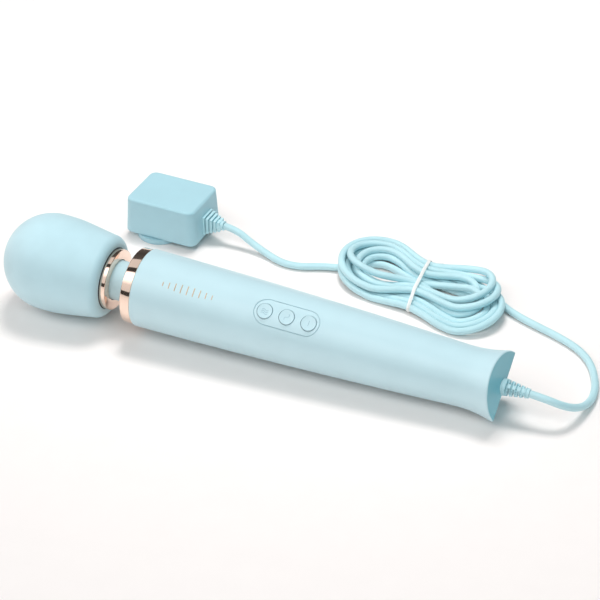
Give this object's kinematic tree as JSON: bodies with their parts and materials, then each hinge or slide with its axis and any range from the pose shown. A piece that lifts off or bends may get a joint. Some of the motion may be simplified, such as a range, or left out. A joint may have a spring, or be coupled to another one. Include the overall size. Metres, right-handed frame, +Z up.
{
  "type": "corded wand massager",
  "caption": "Handheld corded massager with a rounded soft head on a flexible neck, a tapered handle with push buttons, a tied lead and a plug-in wall adapter.",
  "frame": {"origin": "on the table under the middle of the wand, at the bottom centre of the wand's own bounding box", "axes": "+X runs from the tip of the head to the tail of the handle, +Y points away from the viewer towards the wall adapter, +Z is up"},
  "size_m": [0.3891, 0.1733, 0.0638],
  "materials": {
    "silicone_blue": "matte",
    "shell_blue": "satin",
    "rose_gold": "polished, anodised",
    "button_blue": "satin",
    "lead_blue": "satin",
    "tie_white": "matte",
    "frame_plastic": "matte",
    "soft_black": "matte",
    "steel": "brushed",
    "plated": "bright nickel plate",
    "sintered": "sintered bronze",
    "copper": "bare",
    "magnet": "matte",
    "circuit": "matte",
    "component_black": "semi gloss",
    "component_white": "matte",
    "can_alu": "sleeved"
  },
  "bodies": {
    "handle": {"collar_ring": "rose_gold", "neck_mount": "frame_plastic", "neck_mount_screws": "steel", "handle_shell": "shell_blue", "button_panel": "shell_blue", "key_switches": "component_black", "control_board": "circuit", "board_screws": "steel", "driver_chip": "component_black", "board_capacitor": "can_alu", "lead_connectors": "component_white", "chassis": "frame_plastic", "cable_clamp": "frame_plastic", "clamp_screws": "steel", "supply_lead": "lead_blue", "tail_strain_relief": "lead_blue", "cord_tail_run": "lead_blue", "cord_adapter_run": "lead_blue", "cord_hank": "lead_blue", "hank_tie": "tie_white", "adapter_case": "shell_blue", "adapter_base": "shell_blue", "pin_module": "shell_blue", "transformer": "steel", "adapter_board": "circuit", "adapter_capacitors": "can_alu", "adapter_strain_relief": "lead_blue"},
    "neck": {"neck_sleeve": "silicone_blue", "neck_core": "soft_black", "motor_leads": "soft_black"},
    "head": {"head_cover": "silicone_blue", "head_shell_front": "frame_plastic", "head_shell_rear": "frame_plastic", "head_ring": "rose_gold", "motor_can": "steel", "motor_end_cap": "frame_plastic", "front_bush": "sintered", "rear_bush": "sintered", "motor_magnets": "magnet", "motor_brushes": "copper", "motor_cushions": "soft_black"},
    "rotor": {"motor_shaft": "steel", "motor_rotor": "steel", "commutator": "copper", "eccentric_weight": "steel"},
    "pattern_key": {"button_pattern": "button_blue"},
    "rhythm_key": {"button_rhythm": "button_blue"},
    "power_key": {"button_power": "button_blue"},
    "plug_pins": {"blade_pivot": "frame_plastic", "plug_blades": "plated"}
  },
  "joints": [
    {"name": "neck_bend", "type": "hinge", "parent": "handle", "child": "neck", "pos_m": [-0.09195, 0, 0.03011], "axis": [0.0209, 0.7934, 0.6084], "range_deg": [-20, 20], "stiffness_Nm_per_rad": 4, "deforming": ["neck_sleeve", "neck_core", "motor_leads"]},
    {"name": "neck_swing", "type": "hinge", "parent": "neck", "child": "head", "pos_m": [-0.09195, 0, 0.03011], "axis": [0.0272, -0.6088, 0.7929], "range_deg": [-20, 20], "stiffness_Nm_per_rad": 4, "deforming": ["neck_sleeve", "neck_core", "motor_leads"]},
    {"name": "rotor_spin", "type": "hinge", "parent": "head", "child": "rotor", "pos_m": [-0.13792, 0, 0.03169], "axis": [0.9994, 0, -0.0343], "continuous": true},
    {"name": "pattern_press", "type": "slide", "parent": "handle", "child": "pattern_key", "axis": [-0.0272, 0.6088, -0.7929], "range_m": [0, 0.0006], "stiffness_N_per_m": 800, "springref_m": -0.0008},
    {"name": "rhythm_press", "type": "slide", "parent": "handle", "child": "rhythm_key", "axis": [-0.0272, 0.6088, -0.7929], "range_m": [0, 0.0006], "stiffness_N_per_m": 800, "springref_m": -0.0008},
    {"name": "power_press", "type": "slide", "parent": "handle", "child": "power_key", "axis": [-0.0272, 0.6088, -0.7929], "range_m": [0, 0.0006], "stiffness_N_per_m": 800, "springref_m": -0.0008},
    {"name": "pin_fold", "type": "hinge", "parent": "handle", "child": "plug_pins", "pos_m": [-0.12618, 0.10181, 0.0036], "axis": [0.0384, 0.9993, 0], "range_deg": [0, 90]}
  ]
}
